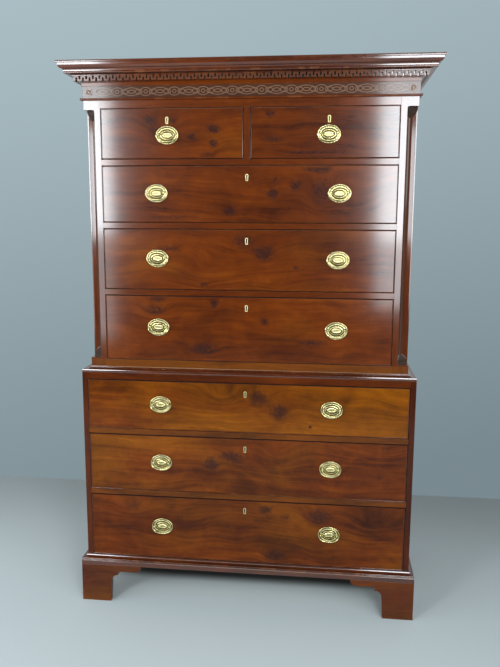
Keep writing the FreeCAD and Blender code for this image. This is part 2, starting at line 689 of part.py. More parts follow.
def drawer_box(bay):
    """Sides, back and bottom of a drawer."""
    low, high = side_height(bay)
    face = bay.face
    end = face + bay.length
    back_z = back_height(bay)
    ends = drawer_ends(bay)
    bottom_z = (low + BOTTOM_LIFT, low + BOTTOM_LIFT + BOTTOM_THICKNESS)
    inner = (ends[0][1], ends[1][0])
    bottom = box((inner[0] - GROOVE, inner[1] + GROOVE), (face + FRONT_STOCK - GROOVE, end), bottom_z)
    back = box(inner, (end - SIDE_THICKNESS, end), back_z)
    sides = [box(x, (face + FRONT_STOCK, end), (low, high)).fuse(front_tails(bay, x)) for x in ends]
    sides = [side.removeSplitter().cut(bottom) for side in sides]
    return sides + [back, bottom]


# ---------------------------------------------------------------- handles
def grip_place(bay, x):
    """Centre of the back plate of the handle at x."""
    return V(x, bay.face, (bay.z[0] + bay.z[1]) / 2 + bay.rise)


def post_places(bay):
    """X and Z of every handle post on a drawer."""
    centres = [grip_place(bay, x) for x in bay.grips.values()]
    return [(c.x + side * POST_SPREAD / 2, c.z + POST_RISE) for c in centres for side in (-1, 1)]


def oval(centre, width, height, y):
    """A face on an oval of OVAL_SIDES short sides."""
    turns = [2 * math.pi * k / OVAL_SIDES for k in range(OVAL_SIDES)]
    points = [V(centre.x + width / 2 * math.cos(turn), y, centre.z + height / 2 * math.sin(turn))
              for turn in turns]
    return Part.Face(Part.makePolygon(points + points[:1]))


def back_plate(bay, x):
    """Oval plate with a raised rim."""
    centre = grip_place(bay, x)
    plate = oval(centre, PLATE_WIDTH, PLATE_HEIGHT, bay.face).extrude(V(0, -RIM_STAND, 0))
    dish = oval(centre, PLATE_WIDTH - 2 * RIM_WIDTH, PLATE_HEIGHT - 2 * RIM_WIDTH, bay.face - RIM_STAND)
    return plate.cut(dish.extrude(V(0, RIM_STAND - PLATE_STOCK, 0)))


def post(x, z, face):
    """A post on the dish of its plate, its head drilled for the bail's end."""
    rings = ((POST_FOOT, PLATE_STOCK), (POST_HEAD, PIVOT_REACH - POST_HEAD * 0.7),
             (POST_HEAD, PIVOT_REACH + POST_HEAD * 0.7))
    turned = faceted([regular(radius, POST_SIDES, lambda a, b, y=face - reach: V(x + a, y, z + b))
                      for radius, reach in rings])
    bore = BAIL_END + BAIL_GAP
    y = face - PIVOT_REACH
    return turned.cut(box((x - 2 * POST_HEAD, x + 2 * POST_HEAD), (y - bore, y + bore), (z - bore, z + bore)))


def brass_of(bay):
    """Keyhole lining, lock, back plates and posts of a drawer."""
    y = (bay.face, bay.face + LINING_DEPTH)
    pieces = [keyhole(bay, LINING_WALL, y).cut(keyhole(bay, 0.0, y)), lock_body(bay)]
    pieces += [back_plate(bay, x) for x in bay.grips.values()]
    return pieces + [post(x, z, bay.face) for x, z in post_places(bay)]


def bail(bay, x):
    """A half-oval bail with its ends turned in, hanging from the two posts."""
    centre = grip_place(bay, x)
    pivot = V(centre.x, bay.face - PIVOT_REACH, centre.z + POST_RISE)
    turns = [math.pi * k / BAIL_SPANS for k in range(BAIL_SPANS + 1)]
    line = [(BAIL_WIDTH / 2 * math.cos(turn), -BAIL_DROP * math.sin(turn)) for turn in turns]
    tip = POST_SPREAD / 2 + POST_HEAD - BAIL_TIP
    line = [(tip, 0.0)] + line + [(-tip, 0.0)]
    rings = []
    for k, (a, b) in enumerate(line):
        out = unit(line[k + 1], line[k]) if k + 1 < len(line) else unit(line[k], line[k - 1])
        into = unit(line[k], line[k - 1]) if k else out
        across = unit((-into[1] - out[1], into[0] + out[0]), (0.0, 0.0))
        stretch = 1 / (across[1] * into[0] - across[0] * into[1])
        radius = BAIL_END - (BAIL_GRIP - BAIL_END) * b / BAIL_DROP
        rings.append(regular(radius, BAIL_SIDES, lambda u, v, a=a, b=b, n=across, s=stretch:
                             V(pivot.x + a + u * s * n[0], pivot.y + v, pivot.z + b + u * s * n[1])))
    return faceted(rings)


# ---------------------------------------------------------------- the chest
def build():
    """Every node and the solids in it."""
    bays = all_bays()
    side_y = (UPPER_FACE + POST_SIZE, BACK)
    upper_z = (UPPER_BASE, CROWN)
    lower_z = (LOWER_BASE, UPPER_BASE)
    upper_sides = both_sides(case_side(UPPER_HALF, side_y, upper_z))
    lower_sides = both_sides(case_side(LOWER_HALF, (LOWER_FACE, BACK), lower_z))
    posts = both_sides(hollow_post())
    front_feet = [both_sides(piece) for piece in front_foot()]
    nodes = {
        "upper_side_left": upper_sides[:1],
        "upper_side_right": upper_sides[1:],
        "upper_corner_left": posts[:1],
        "upper_corner_right": posts[1:],
        "upper_case_boards": upper_case_boards(),
        "upper_drawer_rails": upper_drawer_rails(),
        "upper_runners": upper_runners(bays),
        "upper_back_boards": back_boards(UPPER_HALF, upper_z, UPPER_BACK_BOARDS),
        "crown_moulding": crown_moulding(),
        "key_course": key_course(),
        "fret_frieze": frieze_strips(),
        "waist_moulding": waist_moulding(),
        "lower_side_left": lower_sides[:1],
        "lower_side_right": lower_sides[1:],
        "lower_case_boards": lower_case_boards(),
        "lower_drawer_rails": lower_drawer_rails(),
        "lower_runners": lower_runners(bays),
        "lower_back_boards": back_boards(LOWER_HALF, lower_z, LOWER_BACK_BOARDS),
        "base_moulding": base_moulding(),
        "front_foot_left": [pair[0] for pair in front_feet],
        "front_foot_right": [pair[1] for pair in front_feet],
        "back_feet": [piece for part in back_foot() for piece in both_sides(part)],
    }
    for bay in bays:
        nodes[bay.name + "_front"] = drawer_front(bay)
        nodes[bay.name + "_box"] = drawer_box(bay)
        nodes[bay.name + "_brass"] = brass_of(bay)
        for grip, x in bay.grips.items():
            nodes[bay.name + "_" + grip] = [bail(bay, x)]
    return nodes


os.makedirs("parts", exist_ok=True)
for node, solids in build().items():
    shape = solids[0] if len(solids) == 1 else Part.makeCompound(solids)
    shape.exportStep(os.path.join("parts", node + ".step"))
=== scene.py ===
"""Looks of a mahogany chest on chest: polished veneers, bare linings, brass and a blind fret."""
import json
import math
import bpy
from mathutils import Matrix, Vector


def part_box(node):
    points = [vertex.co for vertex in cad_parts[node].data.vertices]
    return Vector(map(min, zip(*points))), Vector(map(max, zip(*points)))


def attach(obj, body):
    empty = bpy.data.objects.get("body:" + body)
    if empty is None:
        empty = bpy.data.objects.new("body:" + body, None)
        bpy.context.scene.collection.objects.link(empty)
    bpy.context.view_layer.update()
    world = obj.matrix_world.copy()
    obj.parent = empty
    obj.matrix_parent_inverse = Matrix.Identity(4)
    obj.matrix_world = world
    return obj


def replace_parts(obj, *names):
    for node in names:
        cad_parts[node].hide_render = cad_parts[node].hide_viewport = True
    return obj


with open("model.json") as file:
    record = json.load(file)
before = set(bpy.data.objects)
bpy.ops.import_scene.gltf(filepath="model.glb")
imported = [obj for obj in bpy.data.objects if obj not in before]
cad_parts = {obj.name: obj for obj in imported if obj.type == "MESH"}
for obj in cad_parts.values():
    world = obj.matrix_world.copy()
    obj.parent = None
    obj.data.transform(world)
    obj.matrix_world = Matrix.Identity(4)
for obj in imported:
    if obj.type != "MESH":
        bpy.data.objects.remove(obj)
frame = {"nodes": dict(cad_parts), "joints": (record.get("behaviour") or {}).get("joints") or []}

from types import SimpleNamespace

import bpy
from mathutils import Matrix, Vector

for leftover in ("Cube", "Light", "Camera"):
    if leftover in bpy.data.objects:
        bpy.data.objects.remove(bpy.data.objects[leftover])
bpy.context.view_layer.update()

MM = 0.001
QUARTER = math.pi / 2

# Sizes that the brass, the keyholes and the fret share with the chest, in metres
UPPER_FACE = -234 * MM
LOWER_FACE = -260 * MM
FRONT_STOCK = 20 * MM
PLATE_WIDTH = 74 * MM
PLATE_HEIGHT = 58 * MM
PIVOT_RISE = 2 * MM
POST_SPREAD = 54 * MM
BAIL_WIDTH = 67 * MM
BAIL_DROP = 23 * MM
KEY_DROP = 38.5 * MM
LINING_WIDTH = 10 * MM
LINING_HEIGHT = 22 * MM
LINING_WALL = 2.2 * MM
LOCK_WIDTH = 60 * MM
LOCK_HEIGHT = 54 * MM
LOCK_STOCK = 8 * MM
LOCK_INSET = 3 * MM         # below the top edge of a front
FRET_MIDDLE = 1761.5 * MM
FRET_GROUND = 236 * MM
FRET_SIDE = 541 * MM
FRET_PITCH = 47 * MM
FRET_BAND = 2.6 * MM
FRET_SINK = 0.3 * MM        # how far the fret goes into its ground
FRET_RETURN = 186 * MM      # from the middle of a side to its foremost motif
ROSETTE_X = 519 * MM
ROSETTE_Y = 220 * MM

# Where colour, painted shade and painted highlight change: levels, faces, relief and a share of
# painted highlight
WAIST_BAND = SimpleNamespace(low=850 * MM, high=878.5 * MM)
LOWER_RAILS = SimpleNamespace(low=200 * MM, high=812 * MM)
KEYS = SimpleNamespace(low=1793.5 * MM, high=1809.5 * MM, side=553 * MM, front=248 * MM,
                       relief=10 * MM, raised_highlight=0.12)
FRIEZE = SimpleNamespace(low=1742.5 * MM, high=1780.5 * MM, side=FRET_SIDE, front=FRET_GROUND,
                         relief=2.2 * MM, raised_highlight=0.55)
HOLLOW = SimpleNamespace(low=882.5 * MM, high=1707 * MM, side=539 * MM, face=UPPER_FACE,
                         radius=35.5 * MM)

DRAWERS = ["short_left", "short_right"]
DRAWERS += [f"{case}_long_{k}" for case in ("upper", "lower") for k in (1, 2, 3)]


# ------------------------------------------------------------------ finishes
class Value:
    """A shader socket that takes part in sums."""

    def __init__(self, finish, socket):
        self.finish = finish
        self.socket = socket

    def maths(self, operation, *values):
        return self.finish.node("ShaderNodeMath", {"operation": operation}, values)

    def __add__(self, other):
        return self.maths("ADD", self, other)

    def __radd__(self, other):
        return self.maths("ADD", other, self)

    def __sub__(self, other):
        return self.maths("SUBTRACT", self, other)

    def __rsub__(self, other):
        return self.maths("SUBTRACT", other, self)

    def __mul__(self, other):
        return self.maths("MULTIPLY", self, other)

    def __truediv__(self, other):
        return self.maths("DIVIDE", self, other)

    def size(self):
        return self.maths("ABSOLUTE", self)

    def exponent(self):
        return self.maths("EXPONENT", self)

    def root(self):
        return self.maths("SQRT", self)

    def or_more(self, other):
        return self.maths("MAXIMUM", self, other)


class Finish:
    """The nodes of a material, or of the air around the chest, being put together."""

    def __init__(self, name, owners=bpy.data.materials, shader="Principled BSDF", **constants):
        self.material = owners.new(name)
        self.material.use_nodes = True
        self.tree = self.material.node_tree
        self.shader = self.tree.nodes[shader]
        for socket, value in constants.items():
            self.shader.inputs[socket.replace("_", " ")].default_value = value

    def put(self, value, socket):
        if isinstance(value, Value):
            self.tree.links.new(value.socket, socket)
        else:
            socket.default_value = value

    def node(self, kind, settings=None, sockets=(), output=0):
        """A node with its settings, then its sockets' values or links."""
        node = self.tree.nodes.new(kind)
        for key, value in (settings or {}).items():
            if key == "stops":
                self.set_stops(node.color_ramp, value)
            else:
                setattr(node, key, value)
        for key, value in (sockets.items() if isinstance(sockets, dict) else enumerate(sockets)):
            self.put(value, node.inputs[key])
        return Value(self, node.outputs[output])

    def set_stops(self, ramp, stops):
        while len(ramp.elements) < len(stops):
            ramp.elements.new(1.0)
        for element, (place, colour) in zip(ramp.elements, stops):
            element.position = place
            element.color = (*colour, 1.0)

    def vector(self, kind="Object"):
        return self.node("ShaderNodeTexCoord", output=kind)

    def place(self, kind="Object"):
        """Coordinates of one kind as three values."""
        vector = self.vector(kind)
        return [self.node("ShaderNodeSeparateXYZ", None, [vector], k) for k in range(3)]

    def join(self, x, y, z):
        return self.node("ShaderNodeCombineXYZ", None, [x, y, z])

    def mark(self, name):
        """What a mesh attribute says at each point."""
        return self.node("ShaderNodeAttribute", {"attribute_name": name}, output="Fac")

    def noise(self, vector, scale=1.0, detail=3.0, roughness=0.55, distortion=0.0):
        sockets = {"Vector": vector, "Scale": scale, "Detail": detail, "Roughness": roughness,
                   "Distortion": distortion}
        return self.node("ShaderNodeTexNoise", None, sockets)

    def mix(self, share, first, second):
        """One colour turning into another. Either may be plain red, green and blue."""
        first, second = (colour if isinstance(colour, Value) else (*colour, 1.0)
                         for colour in (first, second))
        return self.node("ShaderNodeMix", {"data_type": "RGBA"}, {0: share, 6: first, 7: second}, 2)

    def between(self, value, low, high):
        """0 below low, 1 above high and a smooth step between them."""
        return self.node("ShaderNodeMapRange", {"interpolation_type": "SMOOTHSTEP"},
                         {"Value": value, "From Min": low, "From Max": high})

    def inside(self, value, low, high):
        """1 between low and high, with a step of a millimetre just inside each."""
        return self.between(value, low, low + MM) * (1.0 - self.between(value, high - MM, high))

    def ramp(self, value, stops):
        return self.node("ShaderNodeValToRGB", {"stops": stops}, [value])

    def bump(self, height, distance):
        sockets = {"Height": height, "Distance": distance, "Strength": 1.0}
        self.feed("Normal", self.node("ShaderNodeBump", None, sockets))

    def feed(self, socket, value):
        self.put(value, self.shader.inputs[socket])


RED_WOOD = [(0.16, (0.014, 0.0034, 0.0018)), (0.36, (0.045, 0.0086, 0.0020)),
            (0.54, (0.096, 0.0185, 0.0021)), (0.72, (0.155, 0.0325, 0.0025)),
            (0.92, (0.235, 0.0600, 0.0050))]
GOLDEN_WOOD = [(0.16, (0.021, 0.0064, 0.0018)), (0.36, (0.073, 0.0200, 0.0021)),
               (0.54, (0.142, 0.0385, 0.0020)), (0.72, (0.218, 0.0640, 0.0026)),
               (0.92, (0.305, 0.0980, 0.0070))]
OAK = [(0.2, (0.14, 0.075, 0.033)), (0.5, (0.29, 0.175, 0.085)), (0.8, (0.43, 0.29, 0.155))]
PINE = [(0.2, (0.12, 0.058, 0.024)), (0.5, (0.26, 0.145, 0.064)), (0.8, (0.40, 0.25, 0.12))]
RUST = [(0.3, (0.10, 0.085, 0.075)), (0.7, (0.16, 0.075, 0.04))]
KEYHOLE_DARK = [(0.3, (0.004, 0.003, 0.002)), (0.7, (0.010, 0.006, 0.004))]
KNOT_STAIN = (0.026, 0.0085, 0.0060)
PORE_DIRT = (0.012, 0.004, 0.003)
# painted shade on a carving's ground, then a painted highlight on its raised parts
CARVING_SHADE = (0.036, 0.022, 0.015)
CARVING_HIGHLIGHT = (0.20, 0.130, 0.085)
# painted shade in a hollowed corner
CORNER_SHADE = (0.034, 0.023, 0.018)
WORN_WOOD = (0.30, 0.120, 0.042)
# painted shade in the gaps round the drawer fronts
GAP_SHADE = (0.008, 0.0035, 0.0025)
DULL_BRASS = (0.64, 0.55, 0.24)
BRIGHT_BRASS = (0.84, 0.75, 0.40)
BRASS_DIRT = (0.060, 0.040, 0.012)
COAT_WEIGHT = 0.9


def along_grain(f, grain):
    """Along the grain, across it and through the board, in metres."""
    x, y, z = f.place()
    return {"X": (x, z, y), "Y": (y, z, x), "Z": (z, x, y)}[grain]


def bent(along, across, field, spots, push):
    """The grain's field pushed aside round each spot, and how strongly the spots show."""
    strength_there = 0.0
    for u, v, length, height, strength in spots:
        a = (along - u) / length
        b = (across - v) / height
        bulge = (0.0 - (a * a + b * b)).exponent()
        field = field + bulge * (height * push)
        strength_there = bulge * strength + strength_there
    return field, strength_there


def lit_and_shaded_carving(f, colour, carving):
    """Painted shade on a carving's ground and a painted highlight on its raised parts."""
    x, y, z = f.place()
    proud = (x.size() - carving.side).or_more(0.0 - carving.front - y)
    there = f.inside(z, carving.low, carving.high)
    lifted = f.between(proud, 0.2 * carving.relief, 0.9 * carving.relief)
    # painted shade on the ground, then a painted highlight on the raised parts
    colour = f.mix((1.0 - lifted) * there * 0.7, colour, CARVING_SHADE)
    return f.mix(lifted * there * carving.raised_highlight, colour, CARVING_HIGHLIGHT)


def shaded_corner(f, colour, corner):
    """Painted shade deep in a hollowed corner and on its stops, and how far it dulls the polish."""
    x, y, z = f.place()
    there = f.inside(z, corner.low, corner.high)
    inward, back = corner.side - x.size(), y - corner.face
    reach = (inward * inward + back * back).root()
    radius = corner.radius
    hollowed = (1.0 - f.between(reach, radius + 0.3 * MM, radius + 0.8 * MM)) * there
    dull = (1.0 - f.between(reach, radius - 2.0 * MM, radius - 0.8 * MM)) * there
    # painted shade: darker deep in the hollow and on its stops
    grime = hollowed * f.between(inward, 0.35 * radius, 0.85 * radius) * 0.65 + dull * 0.85
    return f.mix(grime, colour, CORNER_SHADE), dull


def mahogany(name, grain, seed, depth, gold, drift_gold=0.0, knots=(), feathers=(), figure=0.5,
             polish=1.0, shine=1.6, carving=None, corner=None, band=None):
    """French-polished mahogany.

    depth darkens it, gold turns it from red to golden, drift_gold does so along the board, figure
    is how lively its markings are, polish how fresh its polish and shine how strongly that mirrors.
    Each knot and feather is (along, across, half length, half height, strength): a knot stains the
    wood and a feather streaks it. Painted shade fills a carving's ground and a hollowed corner, and
    a painted highlight lies on a carving's raised parts. A band is golden.
    """
    f = Finish(name, Coat_Weight=COAT_WEIGHT * polish, Coat_Roughness=0.11, Coat_IOR=shine,
               IOR=1.5, Specular_IOR_Level=0.08 * polish)
    along, across, through = along_grain(f, grain)
    drift = f.noise(f.join(along * 2.1 + seed, across * 3.2 + seed, through * 2.0), detail=2.0)
    field = across + (drift - 0.5) * 0.14
    field, stained = bent(along, across, field, knots, 1.3)
    field, streaked = bent(along, across, field, feathers, 0.9)

    # figure, from broad clouds down to hairs
    stripes = f.noise(f.join(along * 2.6 + seed, field * 27.0, through * 27.0),
                      detail=5.0, roughness=0.6)
    clouds = f.noise(f.join(along * 5.5 + seed, field * 9.0 + seed, through * 9.0),
                     detail=4.0, distortion=1.3)
    broad = f.noise(f.join(along * 2.4, across * 4.5 + seed, through * 4.5), detail=2.0)
    mottle = f.noise(f.join(along * 30.0, field * 34.0 + seed, through * 34.0),
                     detail=3.0, roughness=0.65)
    hairs = f.noise(f.join(along * 14.0 + seed, field * 420.0, through * 420.0),
                    detail=3.0, roughness=0.6)
    lines = f.noise(f.join(along * 3.6 + seed, field * 76.0 + seed, through * 76.0),
                    detail=3.0, roughness=0.6)
    marks = (stripes * 0.52 + lines * 0.44 + clouds * 0.48 + broad * 0.46 + mottle * 0.20
             - 1.05)
    tone = marks * figure + hairs * 0.18 + (0.45 - depth)
    if feathers:
        tone = tone - f.between(stripes, 0.42, 0.60) * streaked * 0.30

    # from red to golden
    patches = f.noise(f.join(along * 3.1 + seed, field * 7.0, through * 7.0 + seed), detail=2.0)
    warmth = f.between(patches + (gold - 0.5) + along * drift_gold, 0.25, 0.75)
    if band:
        warmth = warmth + f.inside(f.place()[2], band.low, band.high) * 0.7
    colour = f.mix(warmth, f.ramp(tone, RED_WOOD), f.ramp(tone, GOLDEN_WOOD))

    # knots, pores, dirt and wear, with painted shade and highlight on carvings, in hollowed corners
    # and in the gaps
    if knots:
        blot = f.noise(f.join(along * 52.0, across * 60.0, through * 60.0 + seed),
                       detail=5.0, distortion=1.6)
        stain = f.between(stained * (blot * 2.1 - 0.12), 0.14, 0.78)
        colour = f.mix(stain * 0.84, colour, KNOT_STAIN)
    pores = f.noise(f.join(along * 70.0, across * 1500.0, through * 1500.0 + seed), detail=2.0)
    pit = f.between(pores, 0.60, 0.72)
    colour = f.mix(pit * 0.6, colour, PORE_DIRT)
    dull = 0.0
    # painted shade and painted highlight on a carving
    if carving:
        colour = lit_and_shaded_carving(f, colour, carving)
    # painted shade in a hollowed corner
    if corner:
        colour, dull = shaded_corner(f, colour, corner)
    rub = f.noise(f.join(along * 22.0 + seed, across * 22.0, through * 22.0), detail=4.0)
    worn = f.mark("edge") * f.between(rub, 0.48, 0.66)
    colour = f.mix(worn * 0.35, colour, WORN_WOOD)
    # painted shade in the gap round a drawer front
    gap = f.mark("gap")
    f.feed("Base Color", f.mix(gap * 0.9, colour, GAP_SHADE))

    smear = f.noise(f.join(along * 9.0, across * 9.0, through * 9.0), detail=4.0)
    f.feed("Roughness", 0.14 + smear * 0.12 + pit * 0.12 + worn * 0.2 + gap * 0.5)
    f.feed("Coat Weight", (1.0 - gap - dull) * (COAT_WEIGHT * polish))
    swell = f.noise(f.join(along * 7.0, across * 16.0, through * 16.0), detail=1.0)
    f.bump(swell * 0.5 - pit * 0.035 + hairs * 0.012, 0.9 * MM)
    return f.material


def bare_wood(name, grain, stops, seed):
    """Unpolished oak or pine, darkened by age."""
    f = Finish(name, IOR=1.45)
    along, across, through = along_grain(f, grain)
    drift = f.noise(f.join(along * 1.6 + seed, across * 4.0, through * 4.0), detail=2.0)
    field = across + (drift - 0.5) * 0.05
    rings = f.noise(f.join(along * 1.1 + seed, field * 55.0, through * 55.0),
                    detail=4.0, roughness=0.6)
    grime = f.noise(f.join(along * 3.0, across * 5.0 + seed, through * 5.0),
                    detail=5.0, roughness=0.65)
    hairs = f.noise(f.join(along * 18.0, field * 600.0, through * 600.0), detail=3.0)
    f.feed("Base Color", f.ramp(rings * 0.65 + grime * 0.45 + hairs * 0.22 - 0.16, stops))
    f.feed("Roughness", 0.62 + hairs * 0.25)
    f.bump(hairs * 0.6 + rings * 0.4, 0.6 * MM)
    return f.material


def old_brass(name, roughness, soil):
    """Polished brass. Dirt lies in its hollows, by the recess attribute, and more with soil."""
    f = Finish(name, Metallic=1.0)
    vector = f.vector()
    blotch = f.noise(vector, 160.0, 4.0, 0.6)
    grit = f.noise(vector, 1400.0, 3.0, 0.6)
    dirt = f.between(f.mark("recess") + soil + (blotch - 0.5) * 0.25, 0.25, 0.7)
    clean = f.mix(f.between(blotch, 0.35, 0.7), DULL_BRASS, BRIGHT_BRASS)
    f.feed("Base Color", f.mix(dirt, clean, BRASS_DIRT))
    f.feed("Roughness", roughness + blotch * 0.12 + dirt * 0.25)
    f.bump(grit * 0.25 + blotch, 0.35 * MM)
    return f.material


def iron(name):
    """Iron with a film of rust."""
    f = Finish(name, Metallic=0.9)
    rust = f.noise(f.vector(), 220.0, 5.0, 0.65)
    f.feed("Base Color", f.ramp(rust, RUST))
    f.feed("Roughness", 0.45 + rust * 0.35)
    f.bump(rust, 0.3 * MM)
    return f.material


def shadow(name):
    """The dark inside a keyhole."""
    f = Finish(name, Roughness=0.9)
    f.feed("Base Color", f.ramp(f.noise(f.vector(), 300.0), KEYHOLE_DARK))
    return f.material


# ------------------------------------------------------------------ modelling helpers
bare = bpy.data.materials.new("bare")


def added(add, name, **options):
    """What an add operator makes, with only that selected."""
    bpy.ops.object.select_all(action="DESELECT")
    add(**options)
    piece = bpy.context.active_object
    piece.name = name
    return piece


def pick(*pieces):
    """Select these pieces only."""
    bpy.ops.object.select_all(action="DESELECT")
    for piece in pieces:
        piece.select_set(True)
    bpy.context.view_layer.objects.active = pieces[0]


def choose(piece, test):
    """Enter edit mode with the faces selected whose (centre, normal) pass the test."""
    pick(piece)
    bpy.context.tool_settings.mesh_select_mode = (False, False, True)
    mesh = piece.data
    for element in (*mesh.vertices, *mesh.edges):
        element.select = False
    for face in mesh.polygons:
        face.select = bool(test(face.center, face.normal))
    bpy.ops.object.mode_set(mode="EDIT")


def choose_points(piece, test):
    """Enter edit mode with the vertices selected that pass the test."""
    pick(piece)
    bpy.context.tool_settings.mesh_select_mode = (True, False, False)
    mesh = piece.data
    for element in (*mesh.edges, *mesh.polygons):
        element.select = False
    for vertex in mesh.vertices:
        vertex.select = bool(test(vertex.co))
    bpy.ops.object.mode_set(mode="EDIT")


def leave():
    bpy.ops.object.mode_set(mode="OBJECT")


def settle(piece):
    """Put the piece's place, turn and scale into its mesh."""
    pick(piece)
    bpy.ops.object.transform_apply(location=True, rotation=True, scale=True)


def sink(piece, depth):
    """Move what is chosen inwards by a depth, or outwards by a negative one, and leave."""
    bpy.ops.transform.translate(value=(0.0, depth, 0.0))
    leave()


def label(piece, name, value_of, domain="POINT"):
    """Give each point or face of a piece its value of a named attribute."""
    mesh = piece.data
    attribute = mesh.attributes.new(name, "FLOAT", domain)
    for element, entry in zip(mesh.vertices if domain == "POINT" else mesh.polygons,
                              attribute.data):
        entry.value = value_of(element)


def ease(piece, width, segments=2):
    """Round every edge sharper than 30 degrees, and label the rounded strips as edge."""
    pick(piece)
    mesh = piece.data
    mesh.materials.clear()
    for _ in range(2):
        mesh.materials.append(bare)
    bevel = piece.modifiers.new("ease", "BEVEL")
    bevel.width = width
    bevel.segments = segments
    bevel.limit_method = "ANGLE"
    bevel.angle_limit = math.radians(30.0)
    bevel.use_clamp_overlap = True
    bevel.material = 1
    bpy.ops.object.modifier_apply(modifier=bevel.name)
    label(piece, "edge", lambda face: float(face.material_index), "FACE")
    for face in mesh.polygons:
        face.material_index = 0
    mesh.materials.clear()


def smooth(piece, angle=35.0):
    """Shade smoothly across every edge flatter than the angle."""
    pick(piece)
    bpy.ops.object.shade_smooth_by_angle(angle=math.radians(angle))
    weigh = piece.modifiers.new("weigh", "WEIGHTED_NORMAL")
    weigh.keep_sharp = True
    weigh.weight = 100
    bpy.ops.object.modifier_apply(modifier=weigh.name)


def outward(piece):
    """Make every face point outwards."""
    choose(piece, lambda centre, normal: True)
    bpy.ops.mesh.normals_make_consistent(inside=False)
    leave()


def joined(pieces, name):
    """The pieces as one."""
    pick(*pieces)
    if len(pieces) > 1:
        bpy.ops.object.join()
    piece = bpy.context.view_layer.objects.active
    piece.name = name
    piece.data.name = name
    return piece


def copied(master, name, matrix):
    """A copy with its own mesh, placed in that mesh."""
    piece = master.copy()
    piece.data = master.data.copy()
    bpy.context.collection.objects.link(piece)
    piece.name = name
    piece.data.name = name
    piece.data.transform(matrix)
    piece.data.update()
    return piece


def give(piece, body, material=None):
    """Let the piece ride on its body, with its finish where one is named."""
    if material:
        piece.data.materials.clear()
        piece.data.materials.append(material)
    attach(piece, body)


def turned(name, sections, sides):
    """A closed piece of oval sections (half width, half height, reach) towards -Y."""
    near = sections[0]
    width, height, reach = near
    first = sections[1][2] - reach
    piece = added(bpy.ops.mesh.primitive_cylinder_add, name, vertices=sides, radius=1.0, depth=1.0,
                  end_fill_type="NGON", rotation=(QUARTER, 0.0, 0.0))
    piece.scale = (width, height, first)
    piece.location = (0.0, -reach - first / 2, 0.0)
    settle(piece)
    choose(piece, lambda centre, normal: normal.y < -0.9)
    for step, section in enumerate(sections[1:]):
        width, height, reach = section
        if step:
            move = {"value": (0.0, -(reach - near[2]), 0.0)}
            bpy.ops.mesh.extrude_region_move(TRANSFORM_OT_translate=move)
        ratio = (width / near[0], 1.0, height / near[1])
        bpy.ops.transform.resize(value=ratio, center_override=(0.0, -reach, 0.0))
        near = section
    leave()
    return piece


# ------------------------------------------------------------------ the frame's pieces, dressed
def solids(mesh):
    """Faces of each closed shell, in the order in which the shells follow each other."""
    groups, faces, open_edges = [], [], set()
    for face in mesh.polygons:
        faces.append(face.index)
        points = [tuple(round(c * 1e6) for c in mesh.vertices[v].co) for v in face.vertices]
        for edge in zip(points, points[1:] + points[:1]):
            back = (edge[1], edge[0])
            if back in open_edges:
                open_edges.remove(back)
            else:
                open_edges.add(edge)
        if not open_edges:
            groups.append(faces)
            faces = []
    return groups


def grain_of(piece):
    """The axis of the piece's greatest length."""
    points = [vertex.co for vertex in piece.data.vertices]
    spans = [max(p[k] for p in points) - min(p[k] for p in points) for k in range(3)]
    return "XYZ"[spans.index(max(spans))]


def dressed(node, body, finish_of, round_over=0.5 * MM):
    """Stand-in for a node: its solids merged, eased and finished one by one."""
    source = frame["nodes"][node]
    parts = []
    for faces in solids(source.data):
        keep = set(faces)
        part = bpy.data.objects.new(node, source.data.copy())
        bpy.context.collection.objects.link(part)
        numbers = {tuple(face.center): face.index for face in part.data.polygons}
        choose(part, lambda centre, normal: numbers[tuple(centre)] not in keep)
        bpy.ops.mesh.delete(type="FACE")
        bpy.ops.mesh.select_all(action="SELECT")
        bpy.ops.mesh.remove_doubles(threshold=1e-6)
        bpy.ops.mesh.dissolve_limited(angle_limit=math.radians(0.5))
        leave()
        ease(part, round_over)
        part.data.materials.append(finish_of(len(parts), grain_of(part)))
        parts.append(part)
    piece = joined(parts, node + "_dressed")
    smooth(piece)
    give(piece, body)
    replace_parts(piece, node)
    return piece


def family(make, name, *values, **options):
    """Three finishes of one wood, for grain along each axis."""
    return {grain: make(f"{name}_{grain.lower()}", grain, *values, **options) for grain in "XYZ"}


MAHOGANIES = {
    "upper": dict(seed=3.0, depth=0.035, gold=0.2, band=WAIST_BAND),
    "corner": dict(seed=3.0, depth=0.07, gold=0.15, band=WAIST_BAND, shine=1.64, corner=HOLLOW),
    "rail": dict(seed=7.0, depth=0.10, gold=0.15, polish=0.3, band=LOWER_RAILS),
    # the right side is the left's wood made darker: painted shade on the right
    "left": dict(seed=7.0, depth=0.12, gold=0.2, polish=0.3),
    "right": dict(seed=7.0, depth=0.19, gold=0.1, polish=0.3),
    "crown": dict(seed=11.0, depth=0.08, gold=0.2, shine=1.75, carving=KEYS),
    "key": dict(seed=11.0, depth=0.08, gold=0.2, polish=0.5, carving=KEYS),
    "base": dict(seed=19.0, depth=0.125, gold=0.25, shine=1.8),
    "foot": dict(seed=7.0, depth=0.085, gold=0.45, polish=0.45),
    "frieze": dict(seed=11.0, depth=0.03, gold=0.2, polish=0.5, carving=FRIEZE),
    "bead": dict(seed=5.0, depth=-0.02, gold=0.4, shine=1.95),
}
# Each pine's seed and tint
PINES = {"pine": (7.0, 1.0), "pale_pine": (12.0, 1.2), "dark_pine": (17.0, 0.8)}
WOODS = {name: family(mahogany, name + "_mahogany", **options)
         for name, options in MAHOGANIES.items()}
for name, (seed, tint) in PINES.items():
    stops = [(stop, tuple(part * tint for part in colour)) for stop, colour in PINE]
    WOODS[name] = family(bare_wood, name + "_board", stops, seed)
WOODS["oak"] = family(bare_wood, "oak_lining", OAK, 2.0)

